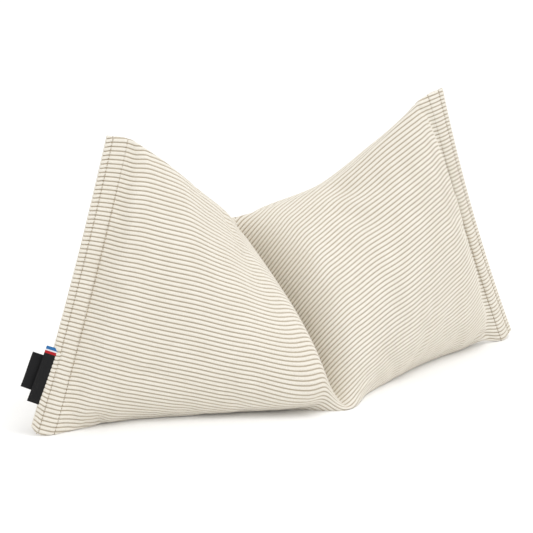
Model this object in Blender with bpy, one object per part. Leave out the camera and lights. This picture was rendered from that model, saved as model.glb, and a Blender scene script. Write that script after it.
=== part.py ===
"""Cervical pillow of wide-wale corduroy, folded over its middle so that it stands on its lower edge.

Metres, +Z up. X runs along the pillow, -Y is the front, and the resting plane is z = 0.
The cover is one tube of cloth with a flat stitched hem at each end, so the filled body is
lofted from sections taken along the cloth: each section is a closed loop of a front curve
and a back curve between a foot on the floor and a crown at the top. The front of the middle
section is pulled in to a crease. Two short woven tabs are sewn in the left hem.
"""
from collections import namedtuple

import bmesh
import bpy
import numpy as np

# Sizes of the cloth, measured flat
CLOTH_HALF = 0.310        # from the crease to a hem's outer edge, along the cloth
HEM_WIDTH = 0.022
HEM_THICKNESS = 0.004     # two doubled layers of corduroy
STITCH_LINE = CLOTH_HALF - HEM_WIDTH

# Tabs in the left hem: where they start above the hem's foot, and their sizes
SIDE_TAB_START = 0.022
SIDE_TAB_LENGTH = 0.057
SIDE_TAB_WIDTH = 0.0115
SIDE_TAB_THICKNESS = 0.0012
SIDE_TAB_OFFSET = -0.0008     # towards the back of the hem is positive
CARE_TAB_START = 0.033
CARE_TAB_LENGTH = 0.036
CARE_TAB_WIDTH = 0.021
CARE_TAB_THICKNESS = 0.0010
CARE_TAB_OFFSET = 0.0007
TAB_GAP = 0.0004
TAB_TURN = 0.075              # how far a tab's free edge comes in towards the hem, for its height
TAB_BEND = 0.0015             # how far a tab's free edge leans away from the other tab
TAB_ROWS = 7
TAB_COLUMNS = 5

# The front crease: how wide it is along the cloth to each side, how fast the bellies rise
# beside it, and how far its handles are pulled in
CREASE_WIDTH = 0.034
CREASE_POWER = 2.5
CREASE_PULL = -0.028

# How fast the filling swells the cloth behind a hem's stitch line
SWELL_WIDTH = 0.055
SWELL_POWER = 2.6

# How much less the cloth slides close to the foot, where it is gathered on the floor. The
# crease itself is not gathered.
GATHER = 0.6
GATHER_POWER = 5
GATHER_START = 0.100

ALONG = np.array([1.0, 0.0, 0.0])

# Mesh
POINTS_ROUND = 60
CURVE_STEPS = 240
CREASE_STATIONS = 7
BELLY_STATIONS = 9
END_STATIONS = 6
HEM_STATIONS = 4
BELLY_START = 0.050
END_START = 0.215
CROWDING = 1.5            # how much closer the sections stand at the crease and at the stitch line
SMOOTH_BELOW = 50.0       # degrees

# run: place along the cloth from the crease.  slips: how far the cloth has slid round the
# section, under the foot and over the crown.  foot, crown: ends of the section.  The four
# handles are (along the chord, out of it).  bow: how far the middle stands off its plane,
# towards +X.
Section = namedtuple("Section", "run slips foot crown front_low front_high back_low back_high bow")

FLAT = (0.08, 0.0)
SECTIONS = (
    Section(-0.310, (0.000, 0.000), (-0.2965, 0.112, 0.010), (-0.206, 0.112, 0.284),
            FLAT, FLAT, FLAT, FLAT, 0.003),
    Section(-0.303, (-0.0045, -0.002), (-0.2910, 0.110, 0.002), (-0.199, 0.112, 0.282),
            FLAT, FLAT, FLAT, FLAT, 0.003),
    Section(-0.288, (0.000, -0.003), (-0.277, 0.104, 0.000), (-0.183, 0.112, 0.278),
            FLAT, FLAT, FLAT, FLAT, 0.003),
    Section(-0.262, (0.007, -0.0035), (-0.250, 0.105, 0.000), (-0.168, 0.113, 0.270),
            (0.06, 0.040), (0.08, 0.028), (0.06, -0.062), (0.08, -0.034), 0.001),
    Section(-0.220, (0.016, 0.001), (-0.210, 0.106, 0.000), (-0.150, 0.116, 0.2585),
            (0.01, 0.048), (0.06, 0.034), (-0.01, -0.088), (0.05, -0.046), 0.000),
    Section(-0.160, (0.033, 0.008), (-0.153, 0.088, 0.000), (-0.120, 0.124, 0.236),
            (0.00, 0.060), (0.05, 0.045), (-0.03, -0.125), (0.00, -0.060), 0.000),
    Section(-0.100, (0.052, 0.018), (-0.098, 0.060, 0.000), (-0.082, 0.140, 0.208),
            (-0.01, 0.078), (0.07, 0.036), (0.00, -0.170), (-0.03, -0.070), 0.000),
    Section(-0.050, (0.071, 0.016), (-0.046, 0.033, 0.000), (-0.040, 0.160, 0.178),
            (-0.03, 0.098), (0.09, 0.020), (0.03, -0.185), (-0.05, -0.080), 0.000),
    Section(0.000, (0.078, 0.088), (0.000, 0.000, 0.000), (-0.004, 0.190, 0.157),
            (0.05, 0.040), (0.05, 0.030), (0.06, -0.160), (-0.02, -0.085), 0.000),
    Section(0.050, (0.071, 0.070), (0.048, 0.032, 0.000), (0.033, 0.176, 0.168),
            (0.02, 0.066), (0.05, 0.060), (0.03, -0.185), (-0.05, -0.080), 0.000),
    Section(0.100, (0.057, 0.033), (0.098, 0.055, 0.000), (0.084, 0.152, 0.188),
            (0.02, 0.064), (0.05, 0.062), (0.00, -0.170), (-0.03, -0.070), 0.000),
    Section(0.160, (0.040, 0.014), (0.153, 0.080, 0.000), (0.130, 0.126, 0.230),
            (0.02, 0.058), (0.05, 0.048), (-0.03, -0.125), (0.00, -0.060), 0.000),
    Section(0.220, (0.016, 0.004), (0.212, 0.095, 0.000), (0.158, 0.113, 0.260),
            (0.02, 0.052), (0.06, 0.038), (-0.01, -0.088), (0.05, -0.046), -0.001),
    Section(0.262, (-0.002, -0.003), (0.250, 0.099, 0.003), (0.172, 0.112, 0.270),
            (0.05, 0.054), (0.08, 0.036), (0.06, -0.062), (0.08, -0.034), -0.004),
    Section(0.288, (0.001, -0.001), (0.275, 0.096, 0.000), (0.183, 0.112, 0.275),
            FLAT, FLAT, FLAT, FLAT, -0.003),
    Section(0.310, (0.000, 0.000), (0.2970, 0.105, 0.006), (0.204, 0.113, 0.280),
            FLAT, FLAT, FLAT, FLAT, -0.006),
)

# Finish of each piece: linear colour, roughness
CORDUROY = ((0.80, 0.74, 0.63), 0.90)
BLACK_TAPE = ((0.012, 0.012, 0.014), 0.75)


def clear_scene():
    for old in list(bpy.data.objects):
        bpy.data.objects.remove(old, do_unlink=True)


def make_material(name, finish):
    colour, roughness = finish
    material = bpy.data.materials.new(name)
    material.use_nodes = True
    shader = material.node_tree.nodes["Principled BSDF"]
    shader.inputs["Base Color"].default_value = (*colour, 1.0)
    shader.inputs["Roughness"].default_value = roughness
    shader.inputs["Metallic"].default_value = 0.0
    return material


def between_rows(places, rows, at):
    """Read the rows of a table at new places, along cubics that never overshoot a row."""
    gap = np.diff(places)[:, None]
    slope = np.diff(rows, axis=0) / gap
    after = 2 * gap[1:] + gap[:-1]
    before = gap[1:] + 2 * gap[:-1]
    monotone = slope[:-1] * slope[1:] > 0
    safe = np.where(monotone, slope[:-1] * slope[1:], 1.0)
    mean = (after + before) * safe / (after * slope[1:] + before * slope[:-1] + (~monotone))
    tangent = np.zeros_like(rows)
    tangent[0] = slope[0]
    tangent[1:-1] = np.where(monotone, mean, 0.0)
    tangent[-1] = slope[-1]
    i = np.clip(np.searchsorted(places, at, side="right") - 1, 0, len(places) - 2)
    h = gap[i]
    t = (at - places[i])[:, None] / h
    return ((2 * t**3 - 3 * t**2 + 1) * rows[i] + (t**3 - 2 * t**2 + t) * h * tangent[i]
            + (3 * t**2 - 2 * t**3) * rows[i + 1] + (t**3 - t**2) * h * tangent[i + 1])


def swell(distance, width, power):
    """Rise from 0 to 1 over a width, fast at first, as filled cloth does beside a seam."""
    share = min(max(distance / width, 0.0), 1.0)
    return 1.0 - (1.0 - share) ** power


def side_curve(start, leave, arrive, end, outward):
    """One face of a section: a cubic, moved out by half the cloth's thickness but at its ends."""
    t = (0.5 - 0.5 * np.cos(np.linspace(0.0, np.pi, CURVE_STEPS)))[:, None]
    line = (1 - t)**3 * start + 3 * (1 - t)**2 * t * leave + 3 * (1 - t) * t**2 * arrive + t**3 * end
    run = np.concatenate([[0.0], np.cumsum(np.linalg.norm(np.diff(line, axis=0), axis=1))])
    half = HEM_THICKNESS / 2
    edge = np.clip(np.minimum(run, run[-1] - run) / half, 0.0, 1.0)
    return line + outward * (half * np.sqrt(1.0 - (1.0 - edge)**2))[:, None]


def section_loop(section):
    """The closed curve of one section: up the front face, then down the back."""
    chord = section.crown - section.foot
    height = np.linalg.norm(chord)
    up = chord / height
    front = np.cross(ALONG, up)
    front /= np.linalg.norm(front)
    open_share = swell(abs(section.run), CREASE_WIDTH, CREASE_POWER)
    fill_share = swell(STITCH_LINE - abs(section.run), SWELL_WIDTH, SWELL_POWER)
    pull = (1.0 - open_share) * CREASE_PULL
    low_out = section.front_low[1] * open_share * fill_share + pull
    high_out = section.front_high[1] * open_share * fill_share + pull
    face = side_curve(section.foot,
                      section.foot + up * section.front_low[0] + front * low_out,
                      section.crown - up * section.front_high[0] + front * high_out,
                      section.crown, front)
    back = side_curve(section.crown,
                      section.crown - up * section.back_high[0]
                      + front * section.back_high[1] * fill_share,
                      section.foot + up * section.back_low[0]
                      + front * section.back_low[1] * fill_share,
                      section.foot, -front)
    loop = np.vstack([face[:-1], back[:-1]])
    share = np.clip((loop - section.foot) @ up / height, 0.0, 1.0)
    return loop + ALONG * (section.bow * 4 * share * (1 - share))[:, None]


def points_round(loop, count, slips, gather):
    """Points at nearly equal steps round a closed loop, slid back under its foot and over its crown."""
    closed = np.vstack([loop, loop[:1]])
    run = np.concatenate([[0.0], np.cumsum(np.linalg.norm(np.diff(closed, axis=0), axis=1))])
    share = np.arange(count) / count
    near_foot = np.abs(2 * share - 1)
    slid = slips[1] + (slips[0] - slips[1]) * near_foot
    slid *= 1.0 - gather * near_foot**GATHER_POWER
    at = (share * run[-1] - slid) % run[-1]
    return np.stack([np.interp(at, run, closed[:, k]) for k in range(3)], axis=1)


def station_runs():
    """Places of the sections along the cloth: close at the crease and at the hems."""
    share = np.linspace(0.0, 1.0, CREASE_STATIONS)
    crease = BELLY_START * share**CROWDING
    belly = np.linspace(BELLY_START, END_START, BELLY_STATIONS + 1)[1:]
    end = np.linspace(0.0, 1.0, END_STATIONS + 1)[1:]
    end = END_START + (STITCH_LINE - END_START) * (1.0 - (1.0 - end)**CROWDING)
    hem = np.linspace(STITCH_LINE, CLOTH_HALF, HEM_STATIONS + 1)[1:]
    half = np.concatenate([crease, belly, end, hem])
    return np.concatenate([-half[:0:-1], half])


def cover_grid():
    """The cover's points: one row for each station, POINTS_ROUND points in each."""
    places = np.array([row.run for row in SECTIONS])
    rows = np.array([np.hstack(row[1:]) for row in SECTIONS])
    runs = station_runs()
    table = between_rows(places, rows, runs)
    grid = []
    for run, row in zip(runs, table):
        section = Section(run, row[0:2], row[2:5], row[5:8], row[8:10], row[10:12],
                          row[12:14], row[14:16], row[16])
        gather = GATHER * min(abs(run) / GATHER_START, 1.0)
        grid.append(points_round(section_loop(section), POINTS_ROUND, section.slips, gather))
    grid = np.array(grid)
    grid[..., 2] = np.maximum(grid[..., 2], 0.0)
    return grid


def cover_faces(grid):
    """Quads along the tube, and a strip that closes each hem's outer edge."""
    stations, count, _ = grid.shape
    faces = []
    for s in range(stations - 1):
        for p in range(count):
            q = (p + 1) % count
            faces.append((s * count + p, (s + 1) * count + p, (s + 1) * count + q, s * count + q))
    last = (stations - 1) * count
    for p in range(count // 2):
        left = (p, p + 1, (count - p - 1) % count, (count - p) % count)
        faces.append(tuple(dict.fromkeys(left)))
        right = [last + v for v in reversed(left)]
        faces.append(tuple(dict.fromkeys(right)))
    return faces


def hem_frame(grid, distance):
    """On the left hem's edge, at a distance above its foot: point, outward and frontward."""
    count = grid.shape[1]
    half = count // 2
    face = grid[0, :half + 1]
    back = grid[0, -np.arange(half + 1)]
    inner = (grid[HEM_STATIONS, :half + 1] + grid[HEM_STATIONS, -np.arange(half + 1)]) / 2
    middle = (face + back) / 2
    run = np.concatenate([[0.0], np.cumsum(np.linalg.norm(np.diff(middle, axis=0), axis=1))])

    def read(points):
        return np.array([np.interp(distance, run, points[:, k]) for k in range(3)])

    outward = read(middle) - read(inner)
    outward /= np.linalg.norm(outward)
    front = read(face) - read(back)
    front -= outward * (front @ outward)
    return read(middle), outward, front / np.linalg.norm(front)


def tab_points(grid, start, length, width, thickness, offset, lean):
    """A tab's points: rows up the hem, columns outward, a front and a back layer."""
    points = np.zeros((2, TAB_ROWS, TAB_COLUMNS, 3))
    for r, up in enumerate(np.linspace(start, start + length, TAB_ROWS)):
        base, outward, front = hem_frame(grid, up)
        for c, share in enumerate(np.linspace(0.0, 1.0, TAB_COLUMNS)):
            middle = base + outward * (TAB_GAP + share * (width - TAB_TURN * (up - start)))
            middle = middle - front * (offset + lean * share**2)
            points[0, r, c] = middle + front * thickness / 2
            points[1, r, c] = middle - front * thickness / 2
    return points


def tab_faces():
    """Front and back grids of a tab, and its four narrow sides."""
    def index(layer, r, c):
        return (layer * TAB_ROWS + r) * TAB_COLUMNS + c

    faces = []
    for r in range(TAB_ROWS - 1):
        for c in range(TAB_COLUMNS - 1):
            faces.append((index(0, r, c), index(0, r + 1, c), index(0, r + 1, c + 1), index(0, r, c + 1)))
            faces.append((index(1, r, c), index(1, r, c + 1), index(1, r + 1, c + 1), index(1, r + 1, c)))
        for c in (0, TAB_COLUMNS - 1):
            faces.append((index(0, r, c), index(0, r + 1, c), index(1, r + 1, c), index(1, r, c)))
    for c in range(TAB_COLUMNS - 1):
        for r in (0, TAB_ROWS - 1):
            faces.append((index(0, r, c), index(0, r, c + 1), index(1, r, c + 1), index(1, r, c)))
    return faces


def add_piece(name, points, faces, material, sharp_angle):
    """A mesh object from points and faces, triangulated, with its faces turned outwards."""
    mesh = bpy.data.meshes.new(name)
    mesh.from_pydata([tuple(map(float, p)) for p in points.reshape(-1, 3)], [], faces)
    form = bmesh.new()
    form.from_mesh(mesh)
    bmesh.ops.triangulate(form, faces=form.faces, quad_method="SHORT_EDGE")
    bmesh.ops.recalc_face_normals(form, faces=form.faces)
    form.to_mesh(mesh)
    form.free()
    mesh.materials.append(material)
    mesh.shade_smooth()
    mesh.set_sharp_from_angle(angle=sharp_angle)
    piece = bpy.data.objects.new(name, mesh)
    bpy.context.scene.collection.objects.link(piece)
    return piece


def build():
    clear_scene()
    cover = cover_grid()
    side_tab = tab_points(cover, SIDE_TAB_START, SIDE_TAB_LENGTH, SIDE_TAB_WIDTH,
                          SIDE_TAB_THICKNESS, SIDE_TAB_OFFSET, -TAB_BEND)
    care_tab = tab_points(cover, CARE_TAB_START, CARE_TAB_LENGTH, CARE_TAB_WIDTH,
                          CARE_TAB_THICKNESS, CARE_TAB_OFFSET, TAB_BEND)
    every = np.vstack([cover.reshape(-1, 3), side_tab.reshape(-1, 3), care_tab.reshape(-1, 3)])
    low = every.min(axis=0)
    high = every.max(axis=0)
    origin = np.array([(low[0] + high[0]) / 2, (low[1] + high[1]) / 2, low[2]])
    smooth = np.radians(SMOOTH_BELOW)
    corduroy = make_material("corduroy", CORDUROY)
    tape = make_material("black_woven_tape", BLACK_TAPE)
    add_piece("pillow", cover - origin, cover_faces(cover), corduroy, smooth)
    add_piece("side_tab", side_tab - origin, tab_faces(), tape, smooth)
    add_piece("care_tab", care_tab - origin, tab_faces(), tape, smooth)


build()
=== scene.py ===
"""Looks of the cervical pillow: a ribbed corduroy cover, its sewn hems and two woven tabs.

Metres, in the frame of the solids: X runs along the pillow, -Y is the front, and the pillow
stands on z = 0. The cover follows the same sections as its solid, with every wale raised.
"""
import math
from collections import namedtuple

import bmesh
import bpy
import numpy as np
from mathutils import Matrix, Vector


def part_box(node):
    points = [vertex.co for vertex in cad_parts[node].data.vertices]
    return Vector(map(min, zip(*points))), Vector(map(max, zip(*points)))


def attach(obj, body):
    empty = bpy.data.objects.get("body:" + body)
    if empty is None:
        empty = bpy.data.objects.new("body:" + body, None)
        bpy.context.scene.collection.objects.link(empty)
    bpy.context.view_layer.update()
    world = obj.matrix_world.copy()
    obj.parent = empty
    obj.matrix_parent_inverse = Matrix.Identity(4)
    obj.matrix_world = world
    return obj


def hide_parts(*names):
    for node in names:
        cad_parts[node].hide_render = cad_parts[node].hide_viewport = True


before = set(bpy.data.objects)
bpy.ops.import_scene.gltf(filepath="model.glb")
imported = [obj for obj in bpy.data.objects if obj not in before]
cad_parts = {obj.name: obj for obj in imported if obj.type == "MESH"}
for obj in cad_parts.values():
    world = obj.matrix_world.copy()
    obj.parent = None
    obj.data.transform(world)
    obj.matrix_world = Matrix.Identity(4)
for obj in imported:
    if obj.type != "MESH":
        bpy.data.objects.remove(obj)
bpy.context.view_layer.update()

# The cloth, measured flat
CLOTH_HALF = 0.310            # from the crease to a hem's outer edge
HEM_WIDTH = 0.022
HEM_THICKNESS = 0.004
STITCH_LINE = CLOTH_HALF - HEM_WIDTH
ROW_INSETS = (0.0065, HEM_WIDTH)      # the two rows of sewing, in from the hem's edge
WALES = 140
WALE_POINTS = (0.0, 0.17, 0.5, 0.83)  # places across one wale, from its groove
WALE_DEPTH = 0.0010
WALE_CROWN = 0.00018

# Front crease and the swell behind the hems, as in the solid
CREASE_WIDTH = 0.034
CREASE_POWER = 2.5
CREASE_PULL = -0.028
SWELL_WIDTH = 0.055
SWELL_POWER = 2.6
GATHER = 0.6                  # how much less the cloth slides close to the foot
GATHER_POWER = 5
GATHER_START = 0.100
ALONG = np.array([1.0, 0.0, 0.0])
CURVE_STEPS = 480
HEM_STEPS = 240               # points read round a hem's edge

# run: place along the cloth from the crease.  slips: how far the cloth has slid round the
# section, under the foot and over the crown.  foot, crown: ends of the section.  The four
# handles are (along the chord, out of it).  bow: how far the middle stands off its plane,
# towards +X.
Section = namedtuple("Section", "run slips foot crown front_low front_high back_low back_high bow")

FLAT = (0.08, 0.0)
SECTIONS = (
    Section(-0.310, (0.000, 0.000), (-0.2965, 0.112, 0.010), (-0.206, 0.112, 0.284),
            FLAT, FLAT, FLAT, FLAT, 0.003),
    Section(-0.303, (-0.0045, -0.002), (-0.2910, 0.110, 0.002), (-0.199, 0.112, 0.282),
            FLAT, FLAT, FLAT, FLAT, 0.003),
    Section(-0.288, (0.000, -0.003), (-0.277, 0.104, 0.000), (-0.183, 0.112, 0.278),
            FLAT, FLAT, FLAT, FLAT, 0.003),
    Section(-0.262, (0.007, -0.0035), (-0.250, 0.105, 0.000), (-0.168, 0.113, 0.270),
            (0.06, 0.040), (0.08, 0.028), (0.06, -0.062), (0.08, -0.034), 0.001),
    Section(-0.220, (0.016, 0.001), (-0.210, 0.106, 0.000), (-0.150, 0.116, 0.2585),
            (0.01, 0.048), (0.06, 0.034), (-0.01, -0.088), (0.05, -0.046), 0.000),
    Section(-0.160, (0.033, 0.008), (-0.153, 0.088, 0.000), (-0.120, 0.124, 0.236),
            (0.00, 0.060), (0.05, 0.045), (-0.03, -0.125), (0.00, -0.060), 0.000),
    Section(-0.100, (0.052, 0.018), (-0.098, 0.060, 0.000), (-0.082, 0.140, 0.208),
            (-0.01, 0.078), (0.07, 0.036), (0.00, -0.170), (-0.03, -0.070), 0.000),
    Section(-0.050, (0.071, 0.016), (-0.046, 0.033, 0.000), (-0.040, 0.160, 0.178),
            (-0.03, 0.098), (0.09, 0.020), (0.03, -0.185), (-0.05, -0.080), 0.000),
    Section(0.000, (0.078, 0.088), (0.000, 0.000, 0.000), (-0.004, 0.190, 0.157),
            (0.05, 0.040), (0.05, 0.030), (0.06, -0.160), (-0.02, -0.085), 0.000),
    Section(0.050, (0.071, 0.070), (0.048, 0.032, 0.000), (0.033, 0.176, 0.168),
            (0.02, 0.066), (0.05, 0.060), (0.03, -0.185), (-0.05, -0.080), 0.000),
    Section(0.100, (0.057, 0.033), (0.098, 0.055, 0.000), (0.084, 0.152, 0.188),
            (0.02, 0.064), (0.05, 0.062), (0.00, -0.170), (-0.03, -0.070), 0.000),
    Section(0.160, (0.040, 0.014), (0.153, 0.080, 0.000), (0.130, 0.126, 0.230),
            (0.02, 0.058), (0.05, 0.048), (-0.03, -0.125), (0.00, -0.060), 0.000),
    Section(0.220, (0.016, 0.004), (0.212, 0.095, 0.000), (0.158, 0.113, 0.260),
            (0.02, 0.052), (0.06, 0.038), (-0.01, -0.088), (0.05, -0.046), -0.001),
    Section(0.262, (-0.002, -0.003), (0.250, 0.099, 0.003), (0.172, 0.112, 0.270),
            (0.05, 0.054), (0.08, 0.036), (0.06, -0.062), (0.08, -0.034), -0.004),
    Section(0.288, (0.001, -0.001), (0.275, 0.096, 0.000), (0.183, 0.112, 0.275),
            FLAT, FLAT, FLAT, FLAT, -0.003),
    Section(0.310, (0.000, 0.000), (0.2970, 0.105, 0.006), (0.204, 0.113, 0.280),
            FLAT, FLAT, FLAT, FLAT, -0.006),
)

# Rows of the cover's mesh along the cloth, from the crease outwards: close together where it
# bends sharply or is sewn
Stretch = namedtuple("Stretch", "end step")
STRETCHES = (
    Stretch(0.008, 0.0016),
    Stretch(0.034, 0.0032),
    Stretch(0.262, 0.0057),
    Stretch(0.283, 0.0030),
    Stretch(0.292, 0.0010),
    Stretch(0.300, 0.0020),
    Stretch(0.308, 0.0010),
)
EDGE_ANGLES = np.radians((30.0, 60.0, 90.0))    # rows that round the hem's outer edge

# Sewing
ROW_PINCH = 0.0006            # how deep a row of stitches pulls the hem in
ROW_PINCH_WIDTH = 0.0012
HEM_PUFF = 0.0004
PUCKER_HEIGHT = 0.0007
PUCKER_WAVES = 30             # puckers round the cloth
PUCKER_REACH = 0.010
FINE_PUCKERS = 2.3            # how many small puckers there are to a large one
ROW_SHADE_REACH = 0.0012              # how far to each side of a row of sewing the painted shade of the pinched row and pressed pile reaches
PLAIN_FOLD = 0.06             # share of the way round, beside each fold of the tube, with no puckers
STITCH_LENGTH = 0.0020
STITCH_SPACING = 0.0031
THREAD_THICKNESS = 0.0009
STITCH_SINK = 0.0003          # how far a stitch's middle lies under the pile
ROW_ENDS = (0.004, 0.496)     # where a row of stitches starts and stops, as shares of the way round
ROW_POINTS = 240
ROW_SIDE = 0.001              # distance to the neighbours from which a row's direction is read

# Short folds pressed in the front. Their ends are places (along the cloth, above the foot).
CLOTH_ROUND = 0.590
Fold = namedtuple("Fold", "start end depth width")
FOLDS = (
    Fold((-0.222, 0.002), (-0.264, 0.036), 0.0024, 0.0050),
    Fold((-0.034, 0.000), (-0.026, 0.034), 0.0026, 0.0040),
    Fold((0.284, 0.002), (0.244, 0.024), 0.0022, 0.0045),
    Fold((0.018, 0.006), (0.044, 0.024), 0.0014, 0.0040),
    Fold((-0.284, 0.083), (-0.150, 0.076), 0.0014, 0.0060),
)

# Cloth simulation on a coarse tube, of which only the wrinkles are kept
SIM_ROWS = 107
SIM_ROUND = 112
SIM_PRESSURE = 4.0
SIM_FRAMES = 20
SIM_SLACK = 0.012             # how much cloth there is to spare
SIM_BLUR = 5                  # passes that find the mean swelling, which the sections have already
SIM_REACH = 0.0030            # furthest that a wrinkle may stand out or in
SIM_CREASE = 0.060            # wrinkles fade towards the crease over this length
SIM_HELD_HEM = 0.002          # the hems are held from this far behind their stitch line
SIM_FLOOR = 0.001             # cloth below this height is held too
SIM_MASS = 0.3
SIM_STRETCH = 20.0
SIM_SHEAR = 8.0
SIM_BENDING = 1.5
SIM_QUALITY = 6

# Tabs in the left hem: where they start above the hem's foot, and their sizes
Tab = namedtuple("Tab", "node start length width offset lean tuck")
SIDE_TAB = Tab("side_tab", 0.022, 0.057, 0.0120, -0.0003, -0.0015, 0.0006)
CARE_TAB = Tab("care_tab", 0.033, 0.036, 0.0210, 0.0007, 0.0015, 0.0012)
TAB_TURN = 0.075              # how far the tabs come in towards the pillow, for their height
TAPE = 0.0004                 # thickness of the woven tape
TAPE_LAYERS = 0.0004          # from the middle of the folded tab to the middle of a layer
TAB_ROWS = 40
TAB_CURL = 0.0006
TAB_WAVE = (0.6, 5.0)         # the curl's start and its turn along the tab, in radians
TAPE_SHARP = 50.0             # degrees from which a tape's edge is sharp
TAB_MARGIN = 0.04             # share of the map, at each end, kept for the tape's cut ends
# Woven bands of the side tab: colour, and start in mm from the upper end
BANDS = (("#2C6CA6", 0.0), ("#E3E2E8", 3.0), ("#AE1A22", 4.4), ("#0E0E10", 7.2))
SET_BACK = 0.0040             # how far the hem's front layer is set back at the side tab's upper end
SET_BACK_LEAST = 0.05         # share of that at its lower end
SET_BACK_REACH = 0.010
SET_BACK_EASE = 0.005

# Camera, fitted to the photo: degrees to the left of the front and above it, as seen from the
# pivot, and its distance from there
CAMERA_LEFT = 36.0
CAMERA_RISE = 15.0
CAMERA_DISTANCE = 3.0
CAMERA_PIVOT = (0.0030, -0.0092, 0.140)
CAMERA_AIM = (-0.0250, -0.0092, 0.129)
CAMERA_LENS = 202.6

# Two soft lamps that look at the camera's aim
Lamp = namedtuple("Lamp", "name place size power")
LAMPS = (
    Lamp("key", (0.3, -0.9, 3.2), 1.6, 26.0),
    Lamp("fill", (1.2, -2.4, 2.2), 1.6, 3.0),
)
FLOOR_HALF = 30.0

CLOTH_MAP = "OFBake"          # the cloth's own map: across is round the tube, up is along it
MM = 1000.0


def between_rows(places, rows, at):
    """Read the rows of a table at new places, along cubics that never overshoot a row."""
    gap = np.diff(places)[:, None]
    slope = np.diff(rows, axis=0) / gap
    after = 2 * gap[1:] + gap[:-1]
    before = gap[1:] + 2 * gap[:-1]
    monotone = slope[:-1] * slope[1:] > 0
    safe = np.where(monotone, slope[:-1] * slope[1:], 1.0)
    mean = (after + before) * safe / (after * slope[1:] + before * slope[:-1] + (~monotone))
    tangent = np.zeros_like(rows)
    tangent[0] = slope[0]
    tangent[1:-1] = np.where(monotone, mean, 0.0)
    tangent[-1] = slope[-1]
    i = np.clip(np.searchsorted(places, at, side="right") - 1, 0, len(places) - 2)
    h = gap[i]
    t = (at - places[i])[:, None] / h
    return ((2 * t**3 - 3 * t**2 + 1) * rows[i] + (t**3 - 2 * t**2 + t) * h * tangent[i]
            + (3 * t**2 - 2 * t**3) * rows[i + 1] + (t**3 - t**2) * h * tangent[i + 1])


def swell(distance, width, power):
    """Rise from 0 to 1 over a width, fast at first, as filled cloth does beside a seam."""
    share = min(max(distance / width, 0.0), 1.0)
    return 1.0 - (1.0 - share) ** power


def side_curve(start, leave, arrive, end, outward):
    """One face of a section: a cubic, moved out by half the cloth's thickness but at its ends."""
    t = (0.5 - 0.5 * np.cos(np.linspace(0.0, np.pi, CURVE_STEPS)))[:, None]
    line = (1 - t)**3 * start + 3 * (1 - t)**2 * t * leave + 3 * (1 - t) * t**2 * arrive + t**3 * end
    run = np.concatenate([[0.0], np.cumsum(np.linalg.norm(np.diff(line, axis=0), axis=1))])
    half = HEM_THICKNESS / 2
    edge = np.clip(np.minimum(run, run[-1] - run) / half, 0.0, 1.0)
    return line + outward * (half * np.sqrt(1.0 - (1.0 - edge)**2))[:, None]


def section_loop(section):
    """The closed curve of one section: up the front face, then down the back."""
    chord = section.crown - section.foot
    height = np.linalg.norm(chord)
    up = chord / height
    front = np.cross(ALONG, up)
    front /= np.linalg.norm(front)
    open_share = swell(abs(section.run), CREASE_WIDTH, CREASE_POWER)
    fill_share = swell(STITCH_LINE - abs(section.run), SWELL_WIDTH, SWELL_POWER)
    pull = (1.0 - open_share) * CREASE_PULL
    low_out = section.front_low[1] * open_share * fill_share + pull
    high_out = section.front_high[1] * open_share * fill_share + pull
    face = side_curve(section.foot,
                      section.foot + up * section.front_low[0] + front * low_out,
                      section.crown - up * section.front_high[0] + front * high_out,
                      section.crown, front)
    back = side_curve(section.crown,
                      section.crown - up * section.back_high[0]
                      + front * section.back_high[1] * fill_share,
                      section.foot + up * section.back_low[0]
                      + front * section.back_low[1] * fill_share,
                      section.foot, -front)
    loop = np.vstack([face[:-1], back[:-1]])
    share = np.clip((loop - section.foot) @ up / height, 0.0, 1.0)
    return loop + ALONG * (section.bow * 4 * share * (1 - share))[:, None]


def points_round(loop, shares, slips, gather):
    """Points at shares of a closed loop's length, slid back under its foot and over its crown."""
    closed = np.vstack([loop, loop[:1]])
    run = np.concatenate([[0.0], np.cumsum(np.linalg.norm(np.diff(closed, axis=0), axis=1))])
    near_foot = np.abs(2 * shares - 1)
    slid = slips[1] + (slips[0] - slips[1]) * near_foot
    slid *= 1.0 - gather * near_foot**GATHER_POWER
    at = (shares * run[-1] - slid) % run[-1]
    return np.stack([np.interp(at, run, closed[:, k]) for k in range(3)], axis=1)


def smooth_tube(runs, shares):
    """The cover without its wales: a row of points for each place along the cloth."""
    places = np.array([row.run for row in SECTIONS])
    rows = np.array([np.hstack(row[1:]) for row in SECTIONS])
    tube = []
    for run, row in zip(runs, between_rows(places, rows, runs)):
        section = Section(run, row[0:2], row[2:5], row[5:8], row[8:10], row[10:12],
                          row[12:14], row[14:16], row[16])
        gather = GATHER * min(abs(run) / GATHER_START, 1.0)
        tube.append(points_round(section_loop(section), shares, section.slips, gather))
    return np.array(tube)


def unit(vectors):
    return vectors / np.maximum(np.linalg.norm(vectors, axis=-1, keepdims=True), 1e-12)


def tube_normals(tube):
    """Outward directions of a tube's points."""
    along = np.gradient(tube, axis=0)
    around = np.roll(tube, -1, axis=1) - np.roll(tube, 1, axis=1)
    return unit(np.cross(along, around))


def smooth_step(share):
    share = np.clip(share, 0.0, 1.0)
    return share * share * (3 - 2 * share)


def smooth_noise(rng, places, waves):
    """A soft random line through the places, from -1 to 1, with so many waves in a unit."""
    low = math.floor(places.min() * waves)
    knots = rng.uniform(-1.0, 1.0, math.ceil(places.max() * waves) - low + 2)
    at = places * waves - low
    i = np.floor(at).astype(int)
    t = smooth_step(at - i)
    return knots[i] * (1 - t) + knots[i + 1] * t


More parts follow.
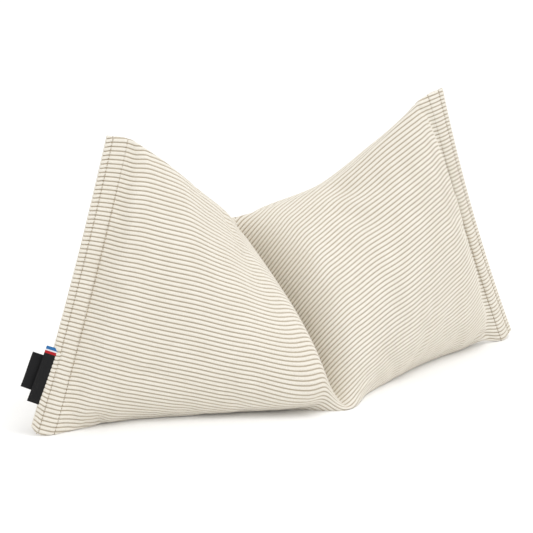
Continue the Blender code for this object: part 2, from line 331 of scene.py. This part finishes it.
def cover_runs():
    """Places of the mesh's rows along the cloth, and how far each has turned round the hem's edge."""
    half = [np.zeros(1)]
    start = 0.0
    for stretch in STRETCHES:
        steps = round((stretch.end - start) / stretch.step)
        half.append(np.linspace(start, stretch.end, steps + 1)[1:])
        start = stretch.end
    flat = np.concatenate(half)
    edge = CLOTH_HALF - HEM_THICKNESS / 2 * (1 - np.sin(EDGE_ANGLES))
    runs = np.concatenate([flat, edge])
    turns = np.concatenate([np.zeros(len(flat)), EDGE_ANGLES])
    return np.concatenate([-runs[:0:-1], runs]), np.concatenate([turns[:0:-1], turns])


def wale_relief(shares):
    """Height of the cloth's face across its wales: flat-topped, with narrow grooves."""
    across = np.abs((shares * WALES + 0.5) % 1.0 - 0.5)
    wall = np.clip(across / WALE_POINTS[1], 0.0, 1.0)
    return -WALE_DEPTH * (1 - wall) + WALE_CROWN * np.sin(np.pi * np.clip(across * 2, 0, 1) / 2)


def sewing_relief(runs, shares, rng):
    """What the sewing does to the hems: pinched rows, a puff between them, puckers behind them."""
    inset = CLOTH_HALF - np.abs(runs)
    rows = -sum(ROW_PINCH * np.exp(-((inset - row) / ROW_PINCH_WIDTH)**2) for row in ROW_INSETS)
    between = np.clip((inset - ROW_INSETS[0]) / (ROW_INSETS[1] - ROW_INSETS[0]), 0.0, 1.0)
    rows += HEM_PUFF * np.sin(np.pi * between)
    behind = inset - HEM_WIDTH
    reach = np.where(behind > 0, behind / PUCKER_REACH * np.exp(1 - behind / PUCKER_REACH), 0.0)
    from_fold = np.minimum(np.abs(shares - 0.5), np.minimum(shares, 1 - shares))
    open_cloth = smooth_step(from_fold / PLAIN_FOLD)
    relief = np.repeat(rows[:, None], len(shares), axis=1)
    for side in (-1, 1):
        puckers = smooth_noise(rng, shares, PUCKER_WAVES)
        puckers = puckers + 0.5 * smooth_noise(rng, shares, FINE_PUCKERS * PUCKER_WAVES)
        ripple = smooth_noise(rng, shares, 2 * PUCKER_WAVES)
        here = np.sign(runs) == side
        relief[here] += PUCKER_HEIGHT * reach[here, None] * puckers * open_cloth
        relief[here] += HEM_PUFF * np.sin(np.pi * between[here, None]) * ripple * open_cloth
    return relief


def fold_relief(runs, shares):
    """The short folds of the front, each deepest in its middle."""
    relief = np.zeros((len(runs), len(shares)))
    for fold in FOLDS:
        start = np.array(fold.start)
        way = np.array(fold.end) - start
        length = np.linalg.norm(way)
        way /= length
        across_cloth = runs[:, None] - start[0]
        above_foot = shares[None, :] * CLOTH_ROUND - start[1]
        share = (across_cloth * way[0] + above_foot * way[1]) / length
        aside = across_cloth * way[1] - above_foot * way[0]
        taper = np.clip(4 * share * (1 - share), 0.0, 1.0)
        relief -= fold.depth * taper * np.exp(-(aside / fold.width)**2)
    return relief


def blurred(grid):
    """A grid of values averaged with its neighbours, round the tube and along it."""
    for _ in range(SIM_BLUR):
        grid = (np.roll(grid, 1, axis=1) + grid + np.roll(grid, -1, axis=1)) / 3
        ends = np.concatenate([grid[:1], grid, grid[-1:]])
        grid = (ends[:-2] + ends[1:-1] + ends[2:]) / 3
    return grid


def simulated_wrinkles(runs, shares):
    """Wrinkles of the filled cover, from a cloth simulation with a small pressure inside it.

    The hems and the cloth on the floor are held. The result is a height along the cover's
    normals for each place of the fine mesh.
    """
    sim_runs = np.linspace(-CLOTH_HALF, CLOTH_HALF, SIM_ROWS)
    sim_shares = np.arange(SIM_ROUND) / SIM_ROUND
    tube = smooth_tube(sim_runs, sim_shares)
    normals = tube_normals(tube)
    tube[..., 2] = np.maximum(tube[..., 2], 0.0)
    index = np.arange(SIM_ROWS * SIM_ROUND).reshape(SIM_ROWS, SIM_ROUND)
    beside = np.roll(index, -1, axis=1)
    faces = np.stack([index[:-1], index[1:], beside[1:], beside[:-1]], axis=-1).reshape(-1, 4)
    body = link_mesh("simulated_tube", tube.reshape(-1, 3), faces.tolist())
    held = (np.abs(sim_runs) > STITCH_LINE - SIM_HELD_HEM)[:, None] | (tube[..., 2] < SIM_FLOOR)
    group = body.vertex_groups.new(name="held")
    group.add(np.flatnonzero(held.ravel()).tolist(), 1.0, "REPLACE")
    cloth = body.modifiers.new("cloth", "CLOTH")
    cloth.settings.quality = SIM_QUALITY
    cloth.settings.mass = SIM_MASS
    cloth.settings.tension_stiffness = SIM_STRETCH
    cloth.settings.compression_stiffness = SIM_STRETCH
    cloth.settings.shear_stiffness = SIM_SHEAR
    cloth.settings.bending_stiffness = SIM_BENDING
    cloth.settings.use_pressure = True
    cloth.settings.uniform_pressure_force = SIM_PRESSURE
    cloth.settings.shrink_min = -SIM_SLACK
    cloth.settings.vertex_group_mass = group.name
    cloth.settings.effector_weights.gravity = 0.0
    cloth.point_cache.frame_start = 1
    cloth.point_cache.frame_end = SIM_FRAMES
    for frame_number in range(1, SIM_FRAMES + 1):
        bpy.context.scene.frame_set(frame_number)
    settled = body.evaluated_get(bpy.context.evaluated_depsgraph_get()).to_mesh()
    moved = np.empty(len(settled.vertices) * 3, np.float32)
    settled.vertices.foreach_get("co", moved)
    height = ((moved.reshape(tube.shape) - tube) * normals).sum(axis=-1)
    bpy.data.objects.remove(body, do_unlink=True)
    bpy.context.scene.frame_set(1)
    height = np.clip(height - blurred(height), -SIM_REACH, SIM_REACH)
    height *= (smooth_step(np.abs(sim_runs) / SIM_CREASE) * (np.abs(sim_runs) < STITCH_LINE))[:, None]
    wrapped = np.concatenate([height, height[:, :1]], axis=1)
    round_shares = np.append(sim_shares, 1.0)
    fine_round = np.array([np.interp(shares, round_shares, row) for row in wrapped])
    return np.stack([np.interp(runs, sim_runs, column) for column in fine_round.T], axis=1)


def set_back(tube, outward, runs, shares):
    """Draw in the left hem's front layer along the side tab, which comes out from under it."""
    above = shares * CLOTH_ROUND
    rise = smooth_step((above - SIDE_TAB.start + SET_BACK_EASE) / SET_BACK_EASE)
    fall = smooth_step((SIDE_TAB.start + SIDE_TAB.length + SET_BACK_EASE - above) / SET_BACK_EASE)
    inset = runs + CLOTH_HALF
    near_edge = np.clip(1.0 - inset / SET_BACK_REACH, 0.0, 1.0)
    near_edge[0] = 0.0
    wedge = np.clip((above - SIDE_TAB.start) / SIDE_TAB.length, SET_BACK_LEAST, 1.0)
    amount = SET_BACK * near_edge[:, None] * (rise * fall * wedge)[None, :]
    return tube - outward * amount[..., None]


def cover_faces(rows, count):
    """Quads along the tube. The first and last rows are folded shut at the hems' edges."""
    half = count // 2

    def index(s, p):
        p %= count
        if s in (0, rows - 1) and p > half:
            p = count - p
        return s * count + p

    faces = []
    corners = []
    for s in range(rows - 1):
        for p in range(count):
            ring = ((s, p), (s + 1, p), (s + 1, p + 1), (s, p + 1))
            face = [index(*corner) for corner in ring]
            keep = [k for k in range(4) if face[k] not in face[:k]]
            faces.append([face[k] for k in keep])
            corners.extend(ring[k] for k in keep)
    return faces, corners


def link_mesh(name, vertices, faces):
    mesh = bpy.data.meshes.new(name)
    mesh.from_pydata(vertices.tolist(), [], faces)
    mesh.shade_smooth()
    made = bpy.data.objects.new(name, mesh)
    bpy.context.scene.collection.objects.link(made)
    return made


def drop_loose(piece):
    """Remove points that no face uses."""
    form = bmesh.new()
    form.from_mesh(piece.data)
    bmesh.ops.delete(form, geom=[v for v in form.verts if not v.link_faces], context="VERTS")
    form.to_mesh(piece.data)
    form.free()


def make_cover(shift):
    """The corduroy cover as one closed mesh, every wale raised, with its own flat map."""
    rng = np.random.default_rng(11)
    runs, turns = cover_runs()
    shares = ((np.arange(WALES)[:, None] + np.array(WALE_POINTS)) / WALES).ravel()
    tube = smooth_tube(runs, shares)
    normals = tube_normals(tube)
    opposite = tube[:, -np.arange(len(shares))]
    middle = (tube + opposite) / 2
    outward = unit(np.gradient(middle, axis=0)) * np.sign(runs)[:, None, None]
    turn = turns[:, None, None]
    tube = np.where(turn > 0, middle + (tube - middle) * np.cos(turn), tube)
    normals = np.where(turn > 0, unit(normals * np.cos(turn) + outward * np.sin(turn)), normals)
    relief = wale_relief(shares)[None, :] + sewing_relief(runs, shares, rng) + fold_relief(runs, shares)
    relief += simulated_wrinkles(runs, shares)
    tube = tube + normals * relief[..., None]
    tube = set_back(tube, outward, runs, shares)
    tube[..., 2] = np.maximum(tube[..., 2], 0.0)
    faces, corners = cover_faces(*tube.shape[:2])
    cover = link_mesh("corduroy_cover", (tube + shift).reshape(-1, 3), faces)
    wrapped = np.append(shares, 1.0)
    places = np.array([(wrapped[p], (runs[s] + CLOTH_HALF) / (2 * CLOTH_HALF)) for s, p in corners])
    layer = cover.data.uv_layers.new(name=CLOTH_MAP)
    layer.uv.foreach_set("vector", places.astype(np.float32).ravel())
    drop_loose(cover)
    return cover


def hem_lines(shift):
    """Up the left hem's edge: its front and back layers there, and the hem's middle at its stitch line."""
    shares = np.linspace(0.0, 1.0, HEM_STEPS, endpoint=False)
    edge, inner = smooth_tube(np.array([-CLOTH_HALF, -STITCH_LINE]), shares) + shift
    half = len(shares) // 2
    back = -np.arange(half + 1)
    return edge[:half + 1], edge[back], (inner[:half + 1] + inner[back]) / 2


def hem_frame(lines, distance):
    """On the left hem's edge, at a distance above its foot: point, outward and frontward."""
    face, back, inner = lines
    middle = (face + back) / 2
    run = np.concatenate([[0.0], np.cumsum(np.linalg.norm(np.diff(middle, axis=0), axis=1))])

    def read(points):
        return np.array([np.interp(distance, run, points[:, k]) for k in range(3)])

    outward = unit(read(middle) - read(inner))
    front = read(face) - read(back)
    return read(middle), outward, unit(front - outward * (front @ outward))


def flat_path(tab):
    """The middle of a single tape, seen along the hem: places outward and frontward."""
    outward = np.linspace(-tab.tuck, tab.width, 16)
    return np.stack([outward, np.zeros_like(outward)], axis=1)


def folded_path(tab):
    """The middle of a tape folded double, from the front layer round the fold to the back one."""
    straight = np.linspace(-tab.tuck, tab.width - TAPE_LAYERS - TAPE / 2, 12)
    angles = np.radians(np.linspace(90.0, -90.0, 9))[1:-1]
    bend = np.stack([straight[-1] + TAPE_LAYERS * np.cos(angles), TAPE_LAYERS * np.sin(angles)], axis=1)
    front = np.stack([straight, np.full_like(straight, TAPE_LAYERS)], axis=1)
    return np.concatenate([front, bend, front[::-1] * (1, -1)])


def make_tab(name, tab, path, lines):
    """A woven tape that stands out of the hem: a thin closed mesh with its own flat map."""
    way = np.gradient(path, axis=0)
    way /= np.linalg.norm(way, axis=1, keepdims=True)
    side = np.stack([-way[:, 1], way[:, 0]], axis=1) * TAPE / 2
    profile = np.concatenate([path + side, (path - side)[::-1]])
    count = len(profile)
    half = len(path)
    closed = np.vstack([profile, profile[:1]])
    run = np.concatenate([[0.0], np.cumsum(np.linalg.norm(np.diff(closed, axis=0), axis=1))])
    across = run / run[-1]
    vertices = []
    for share in np.linspace(0.0, 1.0, TAB_ROWS):
        base, outward, front = hem_frame(lines, tab.start + share * tab.length)
        out = profile[:, 0] - TAB_TURN * share * tab.length
        reach = np.clip(profile[:, 0] / tab.width, 0.0, 1.0)
        curl = TAB_CURL * np.sin(TAB_WAVE[1] * share + TAB_WAVE[0]) * reach**2
        forward = profile[:, 1] - tab.offset - tab.lean * reach**2 + curl
        vertices.append(base + outward * out[:, None] + front * forward[:, None])
    faces = []
    places = []
    up = TAB_MARGIN + (1 - 2 * TAB_MARGIN) * np.linspace(0.0, 1.0, TAB_ROWS)
    for r in range(TAB_ROWS - 1):
        for k in range(count):
            q = (k + 1) % count
            faces.append((r * count + k, r * count + q, (r + 1) * count + q, (r + 1) * count + k))
            places.append(((across[k], up[r]), (across[k + 1], up[r]),
                           (across[k + 1], up[r + 1]), (across[k], up[r + 1])))
    for r, low, high in ((0, 0.0, TAB_MARGIN / 2), (TAB_ROWS - 1, 1.0, 1 - TAB_MARGIN / 2)):
        for k in range(half - 1):
            ring = [k, count - 1 - k, count - 2 - k, k + 1]
            uv = [(across[k], low), (across[k], high), (across[k + 1], high), (across[k + 1], low)]
            if r:
                ring.reverse()
                uv.reverse()
            faces.append([r * count + v for v in ring])
            places.append(uv)
    piece = link_mesh(name, np.concatenate(vertices), faces)
    layer = piece.data.uv_layers.new(name=CLOTH_MAP)
    layer.uv.foreach_set("vector", np.array([p for face in places for p in face], np.float32).ravel())
    piece.data.set_sharp_from_angle(angle=math.radians(TAPE_SHARP))
    return piece, run[-1]


def stitch_paths(shift):
    """Lines that the rows of stitches follow, on both faces of both hems: points and their links."""
    shares = np.linspace(*ROW_ENDS, ROW_POINTS)
    shares = np.concatenate([shares, 0.5 + shares])
    points = []
    for side in (-1, 1):
        for inset in ROW_INSETS:
            run = side * (CLOTH_HALF - inset)
            tube = smooth_tube(run + np.array([-ROW_SIDE, 0.0, ROW_SIDE]), shares)
            row = tube[1] - tube_normals(tube)[1] * STITCH_SINK
            points += [row[:ROW_POINTS], row[ROW_POINTS:]]
    starts = ROW_POINTS * np.arange(len(points))
    links = [(int(start) + k, int(start) + k + 1) for start in starts for k in range(ROW_POINTS - 1)]
    return np.concatenate(points) + shift, links


def stitch_tree():
    """Geometry nodes: a small round-ended stitch at even steps along every line."""
    tree = bpy.data.node_groups.new("hem_stitching", "GeometryNodeTree")
    tree.interface.new_socket("Geometry", in_out="INPUT", socket_type="NodeSocketGeometry")
    for name in ("Spacing", "Length", "Thickness"):
        tree.interface.new_socket(name, in_out="INPUT", socket_type="NodeSocketFloat")
    tree.interface.new_socket("Thread", in_out="INPUT", socket_type="NodeSocketMaterial")
    tree.interface.new_socket("Geometry", in_out="OUTPUT", socket_type="NodeSocketGeometry")
    given = add(tree, "NodeGroupInput").outputs
    curve = add(tree, "GeometryNodeMeshToCurve", {0: given["Geometry"]}).outputs[0]
    steps = add(tree, "GeometryNodeResampleCurve", {"Curve": curve, "Length": given["Spacing"]},
                mode="LENGTH").outputs[0]
    tangent = add(tree, "GeometryNodeInputTangent").outputs[0]
    turned = add(tree, "FunctionNodeAlignRotationToVector", {"Vector": tangent}, axis="Z").outputs[0]
    ball = add(tree, "GeometryNodeMeshUVSphere", {"Segments": 6, "Rings": 5, "Radius": 0.5}).outputs[0]
    size = add(tree, "ShaderNodeCombineXYZ", {0: given["Thickness"], 1: given["Thickness"],
                                              2: given["Length"]}).outputs[0]
    placed = add(tree, "GeometryNodeInstanceOnPoints",
                 {"Points": steps, "Instance": ball, "Rotation": turned, "Scale": size}).outputs[0]
    real = add(tree, "GeometryNodeRealizeInstances", {0: placed}).outputs[0]
    smooth = add(tree, "GeometryNodeSetShadeSmooth", {0: real}).outputs[0]
    threaded = add(tree, "GeometryNodeSetMaterial",
                   {"Geometry": smooth, "Material": given["Thread"]}).outputs[0]
    add(tree, "NodeGroupOutput", {0: threaded})
    return tree


def make_stitches(shift, thread):
    """The hems' rows of stitches, as one mesh."""
    points, links = stitch_paths(shift)
    mesh = bpy.data.meshes.new("stitch_lines")
    mesh.from_pydata(points.tolist(), links, [])
    stitches = bpy.data.objects.new("hem_stitches", mesh)
    bpy.context.scene.collection.objects.link(stitches)
    nodes = stitches.modifiers.new("stitching", "NODES")
    tree = stitch_tree()
    nodes.node_group = tree
    values = {"Spacing": STITCH_SPACING, "Length": STITCH_LENGTH, "Thickness": THREAD_THICKNESS,
              "Thread": thread}
    for item in tree.interface.items_tree:
        if item.in_out == "INPUT" and item.name in values:
            nodes[item.identifier] = values[item.name]
    made = bpy.data.meshes.new_from_object(stitches.evaluated_get(bpy.context.evaluated_depsgraph_get()))
    stitches.modifiers.remove(nodes)
    stitches.data = made
    return stitches


def linear(hex_colour):
    """An sRGB hex colour as linear RGBA."""
    values = [int(hex_colour[i:i + 2], 16) / 255 for i in (1, 3, 5)]
    return (*[v / 12.92 if v <= 0.04045 else ((v + 0.055) / 1.055)**2.4 for v in values], 1.0)


def add(tree, kind, inputs=(), **settings):
    """Add a node with its settings. inputs maps a socket's name or number to a value or a link."""
    made = tree.nodes.new(kind)
    for name, value in settings.items():
        setattr(made, name, value)
    for key, value in dict(inputs).items():
        if isinstance(value, bpy.types.NodeSocket):
            tree.links.new(value, made.inputs[key])
        else:
            made.inputs[key].default_value = value
    return made


def new_material(name, **sockets):
    material = bpy.data.materials.new(name)
    material.use_nodes = True
    shader = material.node_tree.nodes["Principled BSDF"]
    for socket, value in sockets.items():
        shader.inputs[socket.replace("_", " ")].default_value = value
    return material, material.node_tree, shader


def cotton_corduroy():
    """Cut-pile cotton corduroy. Thick matt wales with a soft, pale edge against the light, and darker
    grooves: the ground weave, with painted shade of the narrow grooves in their colour.
    Along each row of sewing a thin line of painted shade is laid, for the pinched cloth and the pressed
    pile there."""
    material, tree, shader = new_material(
        "cotton_corduroy", Roughness=0.92, Sheen_Weight=0.35, Sheen_Roughness=0.55,
        Sheen_Tint=linear("#FFF9EE"), Specular_IOR_Level=0.25)
    place = add(tree, "ShaderNodeUVMap", uv_map=CLOTH_MAP).outputs["UV"]
    round_mm = CLOTH_ROUND * MM
    along_mm = 2 * CLOTH_HALF * MM
    cloth = add(tree, "ShaderNodeVectorMath", {0: place, 1: (round_mm, along_mm, 1.0)},
                operation="MULTIPLY").outputs[0]
    tufts = add(tree, "ShaderNodeTexNoise", {"Vector": cloth, "Scale": 0.95, "Detail": 2.0},
                noise_dimensions="2D").outputs["Fac"]
    lumps = add(tree, "ShaderNodeTexNoise", {"Vector": cloth, "Scale": 0.035, "Detail": 2.0},
                noise_dimensions="2D").outputs["Fac"]
    across = add(tree, "ShaderNodeSeparateXYZ", {0: place}).outputs["X"]
    counted = add(tree, "ShaderNodeMath", {0: across, 1: float(WALES)}, operation="MULTIPLY").outputs[0]
    fray = add(tree, "ShaderNodeMapRange", {"Value": tufts, "To Min": -0.05, "To Max": 0.05}).outputs[0]
    frayed = add(tree, "ShaderNodeMath", {0: counted, 1: fray}, operation="ADD").outputs[0]
    from_groove = add(tree, "ShaderNodeMath", {0: frayed, 1: 0.5}, operation="PINGPONG").outputs[0]
    on_wale = add(tree, "ShaderNodeMapRange", {"Value": from_groove, "From Min": 0.02, "From Max": 0.25},
                  interpolation_type="SMOOTHSTEP").outputs[0]
    wale = add(tree, "ShaderNodeMix", {0: lumps, 6: linear("#E7E1D4"), 7: linear("#EFEADF")},
               data_type="RGBA").outputs[2]
    speckle = add(tree, "ShaderNodeMapRange", {"Value": tufts, "From Min": 0.3, "From Max": 0.7,
                                               "To Min": 0.90, "To Max": 1.0}).outputs[0]
    pile = add(tree, "ShaderNodeMix", {0: 1.0, 6: wale, 7: speckle}, data_type="RGBA",
               blend_type="MULTIPLY").outputs[2]
    # Painted shade: the grooves' colour is the ground weave, darkened further to stand for the shade in
    # the narrow grooves
    ribbed = add(tree, "ShaderNodeMix", {0: on_wale, 6: linear("#B9AB95"), 7: pile},
                 data_type="RGBA").outputs[2]
    # Painted shade: a thin darker line along each row of sewing stands for the shade of the pinched cloth,
    # where the pile is also pressed
    length = add(tree, "ShaderNodeSeparateXYZ", {0: place}).outputs["Y"]
    inset = add(tree, "ShaderNodeMath", {0: length, 1: 0.5}, operation="PINGPONG").outputs[0]
    free = None
    for row in ROW_INSETS:
        aside = add(tree, "ShaderNodeMath", {0: inset, 1: row / (2 * CLOTH_HALF)},
                    operation="SUBTRACT").outputs[0]
        away = add(tree, "ShaderNodeMath", {0: aside}, operation="ABSOLUTE").outputs[0]
        pressed = add(tree, "ShaderNodeMapRange", {"Value": away, "From Max": ROW_SHADE_REACH / (2 * CLOTH_HALF)},
                      interpolation_type="SMOOTHSTEP").outputs[0]
        if free is None:
            free = pressed
        else:
            free = add(tree, "ShaderNodeMath", {0: free, 1: pressed}, operation="MINIMUM").outputs[0]
    shade = add(tree, "ShaderNodeMapRange", {"Value": free, "To Min": 0.90, "To Max": 1.0}).outputs[0]
    colour = add(tree, "ShaderNodeMix", {0: 1.0, 6: ribbed, 7: shade}, data_type="RGBA",
                 blend_type="MULTIPLY").outputs[2]
    bump = add(tree, "ShaderNodeBump", {"Height": tufts, "Strength": 0.5, "Distance": 0.0003}).outputs[0]
    tree.links.new(colour, shader.inputs["Base Color"])
    tree.links.new(bump, shader.inputs["Normal"])
    return material


def sewing_thread():
    """Spun polyester thread, smoother than the pile that it sinks in, and coloured darker than the pile
    with painted shade of the needle holes and pinched rows.
    """
    material, tree, shader = new_material("spun_polyester_thread", Roughness=0.6)
    place = add(tree, "ShaderNodeTexCoord").outputs["Object"]
    twist = add(tree, "ShaderNodeTexNoise", {"Vector": place, "Scale": 900.0}).outputs["Fac"]
    # Painted shade: the thread's own cream is darkened to stand for the shade in the needle holes and
    # pinched rows
    colour = add(tree, "ShaderNodeMix", {0: twist, 6: linear("#94826A"), 7: linear("#B9A98E")},
                 data_type="RGBA").outputs[2]
    tree.links.new(colour, shader.inputs["Base Color"])
    return material


def woven_tape(name, tab, round_length, banded):
    """Black polyester tape in a fine twill, with a dull gloss. Its upper end may have woven bands."""
    material, tree, shader = new_material(name, Roughness=0.7, Specular_IOR_Level=0.25)
    place = add(tree, "ShaderNodeUVMap", uv_map=CLOTH_MAP).outputs["UV"]
    size_mm = (round_length * MM, tab.length * MM / (1 - 2 * TAB_MARGIN), 1.0)
    tape = add(tree, "ShaderNodeVectorMath", {0: place, 1: size_mm}, operation="MULTIPLY").outputs[0]
    twill = add(tree, "ShaderNodeTexWave", {"Vector": tape, "Scale": 0.55, "Distortion": 0.6,
                                            "Detail": 1.0}, bands_direction="DIAGONAL").outputs["Fac"]
    threads = add(tree, "ShaderNodeTexNoise", {"Vector": tape, "Scale": 2.2},
                  noise_dimensions="2D").outputs["Fac"]
    height = add(tree, "ShaderNodeMath", {0: twill, 1: threads}, operation="ADD").outputs[0]
    bump = add(tree, "ShaderNodeBump", {"Height": height, "Strength": 0.5, "Distance": 0.0002}).outputs[0]
    shade = add(tree, "ShaderNodeMix", {0: twill, 6: linear("#0B0B0C"), 7: linear("#18181A")},
                data_type="RGBA").outputs[2]
    if banded:
        up = add(tree, "ShaderNodeSeparateXYZ", {0: place}).outputs["Y"]
        from_top = add(tree, "ShaderNodeMapRange", {"Value": up, "From Min": 1 - TAB_MARGIN,
                                                    "From Max": TAB_MARGIN}).outputs[0]
        ramp = add(tree, "ShaderNodeValToRGB", {0: from_top})
        ramp.color_ramp.interpolation = "CONSTANT"
        stops = ramp.color_ramp.elements
        while len(stops) < len(BANDS):
            stops.new(0.5)
        for stop, (colour, start_mm) in zip(stops, BANDS):
            stop.position = start_mm / (tab.length * MM)
            stop.color = linear(colour)
        black = add(tree, "ShaderNodeMath", {0: from_top, 1: BANDS[-1][1] / (tab.length * MM)},
                    operation="GREATER_THAN").outputs[0]
        shade = add(tree, "ShaderNodeMix", {0: black, 6: ramp.outputs["Color"], 7: shade},
                    data_type="RGBA").outputs[2]
    tree.links.new(shade, shader.inputs["Base Color"])
    tree.links.new(bump, shader.inputs["Normal"])
    return material


def set_stage():
    """A plain pale floor, a white surrounding, and soft light from above and a little from the front."""
    scene = bpy.context.scene
    scene.view_settings.view_transform = "Standard"
    world = bpy.data.worlds.new("white_surrounding")
    world.use_nodes = True
    world.node_tree.nodes["Background"].inputs["Color"].default_value = linear("#FFFFFF")
    world.node_tree.nodes["Background"].inputs["Strength"].default_value = 1.0
    scene.world = world
    corners = FLOOR_HALF * np.array([(-1, -1, 0), (1, -1, 0), (1, 1, 0), (-1, 1, 0)])
    floor = link_mesh("floor", corners, [(0, 1, 2, 3)])
    material, tree, shader = new_material("matt_white_paper", Roughness=0.95, Specular_IOR_Level=0.0)
    place = add(tree, "ShaderNodeTexCoord").outputs["Object"]
    grain = add(tree, "ShaderNodeTexNoise", {"Vector": place, "Scale": 800.0}).outputs["Fac"]
    colour = add(tree, "ShaderNodeMix", {0: grain, 6: linear("#F8F8F7"), 7: linear("#FCFCFC")},
                 data_type="RGBA").outputs[2]
    tree.links.new(colour, shader.inputs["Base Color"])
    floor.data.materials.append(material)
    for lamp in LAMPS:
        light = bpy.data.lights.new(lamp.name, "AREA")
        light.size = lamp.size
        light.energy = lamp.power
        placed = bpy.data.objects.new(lamp.name, light)
        placed.location = lamp.place
        placed.rotation_mode = "QUATERNION"
        placed.rotation_quaternion = (Vector(CAMERA_AIM) - Vector(lamp.place)).to_track_quat("-Z", "Y")
        scene.collection.objects.link(placed)


def set_camera():
    side = math.radians(CAMERA_LEFT)
    rise = math.radians(CAMERA_RISE)
    back = Vector((-math.sin(side) * math.cos(rise), -math.cos(side) * math.cos(rise), math.sin(rise)))
    camera = bpy.data.objects.new("camera", bpy.data.cameras.new("camera"))
    camera.data.lens = CAMERA_LENS
    camera.location = Vector(CAMERA_PIVOT) + back * CAMERA_DISTANCE
    camera.rotation_mode = "QUATERNION"
    camera.rotation_quaternion = (Vector(CAMERA_AIM) - camera.location).to_track_quat("-Z", "Y")
    bpy.context.scene.collection.objects.link(camera)
    bpy.context.scene.camera = camera


def solid_shift():
    """From the sections' own frame to that of the solids."""
    coarse = smooth_tube(np.linspace(-CLOTH_HALF, CLOTH_HALF, 61), np.linspace(0, 1, 120, endpoint=False))
    coarse[..., 2] = np.maximum(coarse[..., 2], 0.0)
    points = coarse.reshape(-1, 3)
    low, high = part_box("pillow")
    shift = (np.array(low) + np.array(high)) / 2 - (points.min(axis=0) + points.max(axis=0)) / 2
    shift[2] = 0.0
    return shift


set_camera()
set_stage()
shift = solid_shift()
cover = make_cover(shift)
cover.data.materials.append(cotton_corduroy())
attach(cover, "root")
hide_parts("pillow")

stitches = make_stitches(shift, sewing_thread())
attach(stitches, "root")

lines = hem_lines(shift)
for name, tab, path, slot, flat_width in (
        ("folded_side_tab", SIDE_TAB, folded_path(SIDE_TAB), "side_tape", 0.026),
        ("flat_care_tab", CARE_TAB, flat_path(CARE_TAB), "care_tape", 0.022)):
    piece, round_length = make_tab(name, tab, path, lines)
    piece.data.materials.append(woven_tape("woven_" + slot, tab, round_length, tab is SIDE_TAB))
    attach(piece, "root")
    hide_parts(tab.node)
